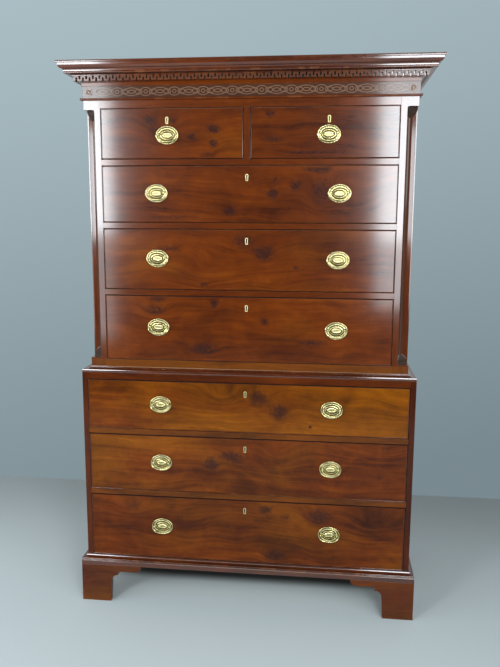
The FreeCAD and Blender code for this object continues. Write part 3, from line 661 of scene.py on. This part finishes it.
# The woods of each node's solids, taken in turn
NODE_WOODS = {
    "upper_side_left": ["upper"], "upper_side_right": ["upper"],
    "upper_corner_left": ["corner"], "upper_corner_right": ["corner"],
    "upper_drawer_rails": ["upper"], "lower_drawer_rails": ["rail"],
    "lower_side_left": ["left"], "lower_side_right": ["right"],
    "front_foot_left": ["foot"], "front_foot_right": ["foot"], "back_feet": ["foot"],
    "crown_moulding": ["crown"], "key_course": ["key"], "fret_frieze": ["frieze"],
    "waist_moulding": ["base"], "base_moulding": ["base"],
    "upper_case_boards": ["pine"], "lower_case_boards": ["pine"],
    "upper_runners": ["pine"], "lower_runners": ["pine"],
    "upper_back_boards": ["pine", "dark_pine", "pale_pine", "pine", "pale_pine"],
    "lower_back_boards": ["pale_pine", "pine", "dark_pine"],
}
for node, woods in NODE_WOODS.items():
    dressed(node, "case",
            lambda k, grain, woods=woods: WOODS[woods[k % len(woods)]][grain])

# Each front's depth, gold and drift of gold, then its knots and its feathers, each of them
# (along, across, half length, half height, strength)
VENEERS = {
    "short_left": (0.03, 0.26, 0.9, [
        (-0.320, 1.672, 0.030, 0.022, 0.70), (-0.300, 1.635, 0.024, 0.022, 0.60),
        (-0.240, 1.668, 0.026, 0.020, 0.50), (-0.182, 1.618, 0.020, 0.015, 0.85),
        (-0.108, 1.643, 0.023, 0.017, 1.00), (-0.109, 1.598, 0.017, 0.014, 0.90),
        (-0.130, 1.562, 0.030, 0.012, 0.60)], []),
    "short_right": (0.08, 0.12, 0.0, [
        (0.075, 1.688, 0.018, 0.014, 0.70), (0.083, 1.610, 0.045, 0.014, 0.60),
        (0.190, 1.568, 0.090, 0.008, 0.70)], []),
    "upper_long_1": (0.05, 0.14, 0.25, [
        (-0.056, 1.381, 0.028, 0.015, 0.80), (-0.250, 1.362, 0.120, 0.008, 0.60),
        (0.085, 1.439, 0.022, 0.017, 0.95), (0.092, 1.482, 0.014, 0.012, 0.60),
        (0.160, 1.465, 0.024, 0.020, 0.80), (0.243, 1.452, 0.040, 0.052, 0.75),
        (0.225, 1.515, 0.060, 0.010, 0.70)], [
        (0.330, 1.400, 0.120, 0.060, 0.50)]),
    "upper_long_2": (0.035, 0.27, 0.1, [
        (0.056, 1.247, 0.036, 0.028, 0.90), (-0.012, 1.288, 0.038, 0.030, 0.70),
        (-0.262, 1.258, 0.055, 0.014, 0.60), (-0.140, 1.140, 0.026, 0.012, 0.60),
        (0.163, 1.200, 0.012, 0.009, 0.70)], [
        (-0.140, 1.180, 0.140, 0.050, 0.35)]),
    "upper_long_3": (0.0, 0.22, 0.0, [
        (-0.305, 1.090, 0.034, 0.010, 0.80), (-0.312, 1.052, 0.045, 0.022, 0.70),
        (-0.107, 1.075, 0.020, 0.018, 0.80), (-0.146, 0.920, 0.050, 0.024, 0.90),
        (0.061, 1.018, 0.020, 0.016, 0.65), (0.220, 0.950, 0.060, 0.016, 0.70)], []),
    "lower_long_1": (0.01, 0.60, 0.45, [
        (0.044, 0.760, 0.034, 0.029, 0.90), (0.115, 0.717, 0.033, 0.029, 0.95),
        (0.220, 0.668, 0.008, 0.006, 0.90), (0.265, 0.772, 0.036, 0.014, 0.35)], [
        (-0.080, 0.760, 0.090, 0.050, 0.40)]),
    "lower_long_2": (0.04, 0.40, -0.4, [
        (-0.116, 0.520, 0.029, 0.026, 0.90), (-0.050, 0.556, 0.044, 0.018, 0.75),
        (-0.025, 0.535, 0.040, 0.016, 0.45), (0.455, 0.502, 0.016, 0.012, 0.60)], [
        (0.420, 0.575, 0.170, 0.050, 0.90), (0.110, 0.560, 0.090, 0.050, 0.50)]),
    "lower_long_3": (0.01, 0.38, 0.1, [
        (0.071, 0.366, 0.026, 0.019, 0.80), (0.258, 0.350, 0.054, 0.032, 0.80),
        (0.140, 0.341, 0.028, 0.018, 0.50), (0.108, 0.197, 0.044, 0.025, 0.80),
        (-0.400, 0.355, 0.060, 0.030, 0.45)], [
        (0.440, 0.330, 0.130, 0.070, 1.00)]),
}
UPPER_FINISH = dict(figure=0.7, polish=1.0)
LOWER_FINISH = dict(figure=0.85, polish=0.25)


def mark_gap_shade(front, box):
    """Label the faces that line the gap round a drawer front, where painted shade darkens them."""
    low, high = (Vector(corner) for corner in box)

    def lines_gap(face):
        x, _, z = face.center
        return float(min(x - low.x, high.x - x, z - low.z, high.z - z) < 1.8 * MM)

    label(front, "gap", lines_gap, "FACE")


for number, drawer in enumerate(DRAWERS):
    body = drawer + "_drawer"
    finish = LOWER_FINISH if drawer.startswith("lower") else UPPER_FINISH
    veneer = mahogany(drawer + "_veneer", "X", 17.0 + 4.3 * number, *VENEERS[drawer], **finish)
    front = dressed(drawer + "_front", body,
                    lambda k, grain, veneer=veneer: WOODS["bead"][grain] if k else veneer,
                    0.4 * MM)
    mark_gap_shade(front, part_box(drawer + "_front"))
    dressed(drawer + "_box", body, lambda k, grain: WOODS["oak"][grain], 0.6 * MM)


# ------------------------------------------------------------------ blind fret of the frieze
def fret_ring(name, half_width, half_height, relief, sides):
    """One flat oval of the fret, sunk a little into its ground."""
    piece = added(bpy.ops.mesh.primitive_circle_add, name, vertices=sides, radius=1.0,
                  fill_type="NOTHING", rotation=(QUARTER, 0.0, 0.0))
    piece.scale = (half_width, half_height, 1.0)
    settle(piece)
    choose_points(piece, lambda point: True)
    bpy.ops.mesh.select_all(action="SELECT")
    bpy.ops.mesh.extrude_region_move()
    ratio = (1.0 - FRET_BAND / half_width, 1.0, 1.0 - FRET_BAND / half_height)
    bpy.ops.transform.resize(value=ratio, center_override=(0.0, 0.0, 0.0))
    leave()
    wall = piece.modifiers.new("wall", "SOLIDIFY")
    wall.thickness = relief + FRET_SINK
    wall.offset = 0.0
    bpy.ops.object.modifier_apply(modifier=wall.name)
    piece.location = (0.0, (FRET_SINK - relief) / 2, 0.0)
    settle(piece)
    outward(piece)
    return piece


# Radius and reach of the rosette's turned profile, then where notches part its eight petals:
# radius and depth, all in millimetres
ROSETTE_PROFILE = [(11.5, -0.3), (11.5, 1.5), (11.0, 2.0), (8.8, 2.0), (8.4, 0.8), (7.6, 0.8),
                   (7.2, 2.0), (4.4, 2.0), (4.0, 1.0), (3.2, 1.0), (2.8, 2.2)]
ROSETTE_NOTCHES = [(7.2, 0.9), (4.4, 0.3)]


def rosette_master():
    """Small round flower of eight petals."""
    sides = 32
    sections = [(radius * MM, radius * MM, reach * MM) for radius, reach in ROSETTE_PROFILE]
    piece = turned("rosette", sections, sides)
    for radius, depth in ROSETTE_NOTCHES:
        choose_points(piece, lambda p: abs(math.hypot(p.x, p.z) - radius * MM) < 0.4 * MM
                      and p.y < -MM and round(math.atan2(p.z, p.x) / math.tau * sides) % 4 == 0)
        sink(piece, depth * MM)
    return piece


def fret_run(name, motifs, seat):
    """A run of overlapping ovals, rings and links, one motif per place along the ground."""
    parts = []
    for k, place in motifs:
        for master in ((lozenge, eye) if k % 2 == 0 else (hoop, ring)):
            parts.append(copied(master, name, seat @ Matrix.Translation((place, 0.0, 0.0))))
        spot = Matrix.Translation((place + FRET_PITCH / 2, 0.0, 0.0))
        parts.append(copied(link, name, seat @ spot))
    return parts


def apply_fret(name, motifs, rosettes, seat, wood):
    """One face's fret and rosettes, as one piece on the case."""
    parts = fret_run(name, motifs, seat)
    for place in rosettes:
        parts.append(copied(rosette, "rosette", seat @ Matrix.Translation((place, 0.0, 0.0))))
    fret = joined(parts, name)
    smooth(fret)
    give(fret, "case", wood)


lozenge = fret_ring("lozenge", 29 * MM, 14 * MM, 2.2 * MM, 8)
hoop = fret_ring("hoop", 20 * MM, 14 * MM, 2.5 * MM, 16)
eye = fret_ring("eye", 12 * MM, 6.5 * MM, 2.2 * MM, 12)
ring = fret_ring("ring", 7 * MM, 7 * MM, 2.2 * MM, 12)
link = fret_ring("link", 13 * MM, 8.5 * MM, 1.9 * MM, 12)
rosette = rosette_master()
apply_fret("fret_front", [(k, k * FRET_PITCH) for k in range(-10, 11)], (-ROSETTE_X, ROSETTE_X),
           Matrix.Translation((0.0, -FRET_GROUND, FRET_MIDDLE)), WOODS["frieze"]["X"])
for side, word in ((-1, "left"), (1, "right")):
    seat = Matrix.Translation((side * FRET_SIDE, 0.0, FRET_MIDDLE))
    apply_fret("fret_" + word, [(k, side * (k * FRET_PITCH - FRET_RETURN)) for k in range(10)],
               (-side * ROSETTE_Y,), seat @ Matrix.Rotation(side * QUARTER, 4, "Z"),
               WOODS["frieze"]["Y"])
for master in (lozenge, hoop, eye, ring, link, rosette):
    bpy.data.objects.remove(master)


# ------------------------------------------------------------------ brass
# Inset from the rim and reach of the back plate's profile, in millimetres
PLATE_PROFILE = [
    (0.0, 0.0), (0.0, 1.6), (0.4, 2.3), (1.2, 2.8), (2.4, 2.8), (3.0, 2.2), (3.4, 1.3), (5.8, 1.2),
    (6.2, 1.8), (7.2, 2.4), (9.4, 2.4), (10.2, 1.8), (10.6, 1.2), (13.6, 1.2), (14.2, 1.7),
    (15.2, 2.3), (16.8, 2.3), (17.6, 1.2), (20.2, 1.2), (20.8, 1.9), (22.5, 2.5), (24.2, 3.0),
    (26.0, 1.8)]
PLATE_SIDES = 96
# The plate's flutes and petals: inset of the ring that they cut, how many points lie from one to
# the next, which of those points move, and how deep, in millimetres
PLATE_CUTS = [
    (1.2, 4, (0,), 0.5), (2.4, 4, (0,), 0.5), (7.2, 4, (0,), 0.6), (9.4, 4, (0,), 0.6),
    (22.5, 8, (0, 1, 7), -0.4), (22.5, 8, (3, 4, 5), 0.7), (24.2, 8, (3, 4, 5), 0.6)]
# Radius and reach of the bail post's turned profile, in millimetres
POST_PROFILE = [(4.2, 1.2), (4.2, 2.0), (3.6, 2.8), (2.5, 3.3), (2.2, 5.2), (2.6, 7.2), (3.3, 8.8),
                (3.8, 10.4), (3.9, 12.0), (3.6, 13.4), (2.6, 14.6), (1.2, 15.2)]


def mark_recess(piece, deepest, proudest):
    """Label how deep each point lies, 1 at the deepest reach and 0 at the proudest."""
    label(piece, "recess", lambda point: min(1.0, max(0.0, (proudest + point.co.y)
                                                      / (proudest - deepest))))


def plate_master():
    """Oval back plate: rolled rim, fluted border, plain band and a petalled boss."""
    a, b = PLATE_WIDTH / 2, PLATE_HEIGHT / 2
    sections = [(a - inset * MM, b - inset * MM, reach * MM) for inset, reach in PLATE_PROFILE]
    piece = turned("plate", sections, PLATE_SIDES)
    for inset, period, moved, depth in PLATE_CUTS:
        def is_cut(p):
            ring = math.hypot(p.x / (a - inset * MM), p.z / (b - inset * MM))
            turn = round(math.atan2(p.z / b, p.x / a) / math.tau * PLATE_SIDES) % PLATE_SIDES
            return abs(ring - 1.0) < 0.01 and turn % period in moved

        choose_points(piece, is_cut)
        sink(piece, depth * MM)
    smooth(piece, 50.0)
    mark_recess(piece, 1.2 * MM, 2.3 * MM)
    return piece


def post_master():
    """Turned post with a collar, a waist and a rounded head."""
    sections = [(radius * MM, radius * MM, reach * MM) for radius, reach in POST_PROFILE]
    piece = turned("post", sections, 24)
    smooth(piece, 50.0)
    mark_recess(piece, 1.0 * MM, 5.0 * MM)
    return piece


def nut_master():
    """Square nut with the end of the post's screw standing out of it."""
    width, stock = 10 * MM, 3.5 * MM
    nut = added(bpy.ops.mesh.primitive_cube_add, "nut", size=1.0, location=(0.0, stock / 2, 0.0))
    nut.scale = (width, stock, width)
    settle(nut)
    ease(nut, 0.6 * MM)
    screw = added(bpy.ops.mesh.primitive_cylinder_add, "screw", vertices=16, radius=2 * MM,
                  depth=6 * MM, location=(0.0, 3 * MM, 0.0), rotation=(QUARTER, 0.0, 0.0))
    settle(screw)
    ease(screw, 0.4 * MM)
    piece = joined([nut, screw], "nut")
    smooth(piece)
    return piece


def bail_master():
    """Half-oval bail, thin at its turned-in ends and full at the grip."""
    curve = added(bpy.ops.curve.primitive_nurbs_path_add, "bail")
    spline = curve.data.splines[0]
    a, tip = BAIL_WIDTH / 2, 25 * MM
    # across, up and radius in millimetres
    half = [(tip, 0.0, 1.4), (a - 2.5 * MM, 0.0, 1.4), (a, -0.2 * MM, 1.5), (a, -3 * MM, 2.0),
            (a * 0.985, -7 * MM, 1.7), (a * 0.90, -13 * MM, 1.9), (a * 0.72, -18.5 * MM, 2.2),
            (a * 0.45, -22 * MM, 2.5), (a * 0.16, -BAIL_DROP, 2.7)]
    stations = half + [(-x, z, radius) for x, z, radius in reversed(half)]
    spline.points.add(len(stations) - len(spline.points))
    for point, (x, z, radius) in zip(spline.points, stations):
        point.co = (x, 0.0, z, 1.0)
        point.radius = radius
    spline.order_u = 3
    spline.use_endpoint_u = True
    spline.resolution_u = 6
    curve.data.dimensions = "3D"
    curve.data.bevel_depth = MM
    curve.data.bevel_resolution = 4
    curve.data.use_fill_caps = True
    pick(curve)
    bpy.ops.object.convert(target="MESH")
    piece = bpy.context.active_object
    piece.location = (0.0, 0.0, 0.0)
    settle(piece)
    choose(piece, lambda centre, normal: True)
    bpy.ops.mesh.remove_doubles(threshold=1e-6)
    leave()
    outward(piece)
    smooth(piece, 60.0)
    label(piece, "recess", lambda point: 0.55 if point.co.z > -2 * MM else 0.1)
    return piece


def keyhole_block(name, radius, height, outer, depth):
    """A solid of a keyhole's outline, round above and narrowing below, from outer inwards."""
    piece = added(bpy.ops.mesh.primitive_cylinder_add, name, vertices=32, radius=radius,
                  depth=depth, end_fill_type="NGON", location=(0.0, outer + depth / 2, 0.0),
                  rotation=(QUARTER, 0.0, 0.0))
    settle(piece)
    choose_points(piece, lambda point: point.z < -0.48 * radius)
    bpy.ops.transform.resize(value=(0.9, 1.0, 0.0), center_override=(0.0, 0.0, -radius))
    bpy.ops.transform.translate(value=(0.0, 0.0, 2 * radius - height))
    leave()
    return piece


def lining_master():
    """Keyhole lining, pierced, with a rounded face."""
    piece = keyhole_block("lining", LINING_WIDTH / 2, LINING_HEIGHT, -0.8 * MM, 4.6 * MM)
    choose(piece, lambda centre, normal: abs(normal.y) > 0.9)
    bpy.ops.mesh.inset(thickness=LINING_WALL, use_individual=True)
    bpy.ops.mesh.bridge_edge_loops()
    leave()
    outward(piece)
    ease(piece, 0.8 * MM, 3)
    smooth(piece)
    mark_recess(piece, 0.0, 0.75 * MM)
    return piece


def keyhole_master():
    """A dark block behind the lining: painted shade for the inside of the keyhole."""
    wall = LINING_WALL - 0.1 * MM
    piece = keyhole_block("keyhole", LINING_WIDTH / 2 - wall, LINING_HEIGHT - 2 * wall, 1.2 * MM,
                          2 * MM)
    ease(piece, 0.1 * MM, 1)
    smooth(piece)
    return piece


def lock_master():
    """Lock case with its keyhole cap, let into the back of a front."""
    piece = added(bpy.ops.mesh.primitive_cube_add, "lock", size=1.0,
                  location=(0.0, -LOCK_STOCK / 2, -LOCK_HEIGHT / 2))
    piece.scale = (LOCK_WIDTH, LOCK_STOCK, LOCK_HEIGHT)
    settle(piece)
    choose(piece, lambda centre, normal: normal.y > 0.9)
    bpy.ops.mesh.inset(thickness=4 * MM)
    bpy.ops.mesh.inset(thickness=0.8 * MM, depth=-0.8 * MM)
    leave()
    ease(piece, 0.3 * MM, 1)
    smooth(piece)
    return piece


plate = plate_master()
post = post_master()
nut = nut_master()
bail = bail_master()
lining = lining_master()
keyhole = keyhole_master()
lock = lock_master()
brass = old_brass("toned_brass", 0.20, 0.0)
lining_brass = old_brass("worn_brass", 0.40, 0.3)
keyhole_dark = shadow("keyhole_dark")
lock_iron = iron("lock_iron")


def fit(master, name, place, body, material):
    """A copy of a master at its place, on its body."""
    piece = copied(master, name, Matrix.Translation(place))
    give(piece, body, material)
    return piece


HINGES = {joint["child"]: Vector(joint["pos_m"])
          for joint in frame["joints"] if joint["type"] == "hinge"}
for drawer in DRAWERS:
    body = drawer + "_drawer"
    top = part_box(drawer + "_front")[1][2]
    face = LOWER_FACE if drawer.startswith("lower") else UPPER_FACE
    handles = {name: pivot for name, pivot in HINGES.items() if name.startswith(drawer)}
    for name, pivot in handles.items():
        middle_height = pivot.z - PIVOT_RISE
        fit(plate, name.replace("bail", "plate"), (pivot.x, face, middle_height), body, brass)
        for side, word in ((-1, "left"), (1, "right")):
            x = pivot.x + side * POST_SPREAD / 2
            fit(post, f"{name}_post_{word}", (x, face, pivot.z), body, brass)
            fit(nut, f"{name}_nut_{word}", (x, face + FRONT_STOCK, pivot.z), body, brass)
        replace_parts(fit(bail, name + "_grip", pivot, name, brass), name)
    middle = sum(pivot.x for pivot in handles.values()) / len(handles)
    key_place = (middle, face, top - KEY_DROP + LINING_HEIGHT / 2 - LINING_WIDTH / 2)
    piece = fit(lining, drawer + "_keyhole_lining", key_place, body, lining_brass)
    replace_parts(piece, drawer + "_brass")
    fit(keyhole, drawer + "_keyhole", key_place, body, keyhole_dark)
    fit(lock, drawer + "_lock", (middle, face + FRONT_STOCK, top - LOCK_INSET), body, lock_iron)
for master in (plate, post, nut, bail, lining, keyhole, lock):
    bpy.data.objects.remove(master)


# ------------------------------------------------------------------ room, light and camera
def floor_paint():
    """Pale paint with painted shade towards the wall and to the right, and a painted shadow under
    the case.
    """
    f = Finish("floor_paint", Roughness=0.8, Specular_IOR_Level=0.2)
    x, y, z = f.place()
    cloud = f.noise(f.join(x, y, z), 1.2, 3.0)
    # painted shade, deeper towards the wall and to the right
    shade = f.between(y, -0.1, 0.9) * 0.34 + f.between(x, 0.1, 1.3) * 0.16 + cloud * 0.05
    open_floor = f.mix(shade, (0.51, 0.570, 0.578), (0.10, 0.13, 0.14))
    # painted shadow under the case
    under_shadow = (f.between(y, -0.108, -0.04) * (1.0 - f.between(y, 0.2, 0.4))
             * (1.0 - f.between(x.size(), 0.42, 0.60)))
    f.feed("Base Color", f.mix(under_shadow * 0.95, open_floor, (0.020, 0.022, 0.020)))
    return f.material


def room_air():
    """Dark air in front, lit air behind, and for the camera a plain wall with painted shade, darker
    downwards and to the right, over a floor with painted shade towards the wall.
    """
    f = Finish("room_air", bpy.data.worlds, "Background")
    x, y, z = f.place("Generated")
    # painted shade on the wall: darker downwards and to the right
    wall_shade = f.between(z, -0.5, 0.45) - (x + 0.1) * 0.35
    wall = f.mix(wall_shade, (0.190, 0.250, 0.275), (0.400, 0.505, 0.545))
    # painted shade on the floor: darker towards the wall
    ground = f.mix(f.between(z, -0.5, 0.0), (0.46, 0.54, 0.565), (0.30, 0.38, 0.41))
    below = (1.0 - f.between(y, -0.05, 0.05)) * (1.0 - f.between(z, -0.02, 0.0))
    air = f.mix(f.between(y, -0.2, 0.6), (0.030, 0.032, 0.034), (0.42, 0.44, 0.46))
    seen = f.node("ShaderNodeLightPath", output="Is Camera Ray")
    f.feed("Color", f.mix(seen, air, f.mix(below, wall, ground)))
    return f.material


floor = added(bpy.ops.mesh.primitive_plane_add, "floor", size=1.0)
floor.scale = (14.0, 6.355, 1.0)
floor.location = (0.0, -2.3225, -0.5 * MM)
settle(floor)
floor.data.materials.append(floor_paint())
bpy.context.scene.world = room_air()

DAYLIGHT = (0.88, 0.95, 1.0)
WARM = (1.0, 0.98, 0.95)
WHITE = (1.0, 1.0, 1.0)
# Name, place, what it faces, width, height, watts and colour
LAMPS = [
    ("window_left", (-1.79, -3.05, 1.83), (-1.79, 0.0, 1.7), 0.9, 1.15, 66.0, DAYLIGHT),
    ("window_left_foot", (-1.79, -3.05, 0.85), (-1.79, 0.0, 0.85), 0.9, 0.78, 8.5, DAYLIGHT),
    ("window_right", (1.035, -3.05, 1.80), (1.035, 0.0, 1.67), 0.83, 1.20, 56.0, DAYLIGHT),
    ("window_right_foot", (1.035, -3.05, 0.96), (1.035, 0.0, 0.96), 0.83, 0.45, 8.5, DAYLIGHT),
    ("ceiling", (0.0, -3.6, 3.3), (0.0, 0.6, 1.6), 3.0, 1.0, 24.0, WARM),
    ("far_window_left", (-2.735, -1.578, 1.60), (-0.53, -0.2, 1.60), 2.3, 0.75, 50.0, DAYLIGHT),
    ("far_window_right", (2.20, -2.19, 1.60), (0.53, -0.2, 1.60), 1.9, 0.75, 41.0, DAYLIGHT),
    ("side_left", (-3.0, 0.2, 2.2), (0.0, 0.0, 1.0), 1.0, 1.6, 8.0, WHITE),
    ("side_right", (3.0, 0.2, 2.2), (0.0, 0.0, 1.0), 1.0, 1.6, 8.0, WHITE),
]
for name, place, aim, width, height, watts, colour in LAMPS:
    light = bpy.data.lights.new(name, "AREA")
    light.shape = "RECTANGLE"
    light.size = width
    light.size_y = height
    light.energy = watts
    light.color = colour
    lamp = bpy.data.objects.new(name, light)
    bpy.context.collection.objects.link(lamp)
    lamp.location = place
    lamp.rotation_euler = (Vector(aim) - Vector(place)).to_track_quat("-Z", "Y").to_euler()

CAMERA_PLACE = Vector((0.2631, -2.5235, 1.3499))
YAW, PITCH, ROLL = math.radians(-6.239), math.radians(9.178), math.radians(0.279)
FOCAL, FRAME_HEIGHT = 694.7, 667    # in pixels
SENSOR_HEIGHT = 36.0
ahead = Vector((math.sin(YAW) * math.cos(PITCH), math.cos(YAW) * math.cos(PITCH), -math.sin(PITCH)))
level = ahead.cross(Vector((0.0, 0.0, 1.0))).normalized()
right = level * math.cos(ROLL) + level.cross(ahead) * math.sin(ROLL)
up = right.cross(ahead)
camera = bpy.data.objects.new("camera", bpy.data.cameras.new("camera"))
bpy.context.collection.objects.link(camera)
camera.matrix_world = (Matrix.Translation(CAMERA_PLACE)
                       @ Matrix((right, up, -ahead)).transposed().to_4x4())
camera.data.sensor_fit = "VERTICAL"
camera.data.sensor_height = SENSOR_HEIGHT
camera.data.lens = FOCAL * SENSOR_HEIGHT / FRAME_HEIGHT
bpy.context.scene.camera = camera
bpy.context.scene.view_settings.view_transform = "Standard"
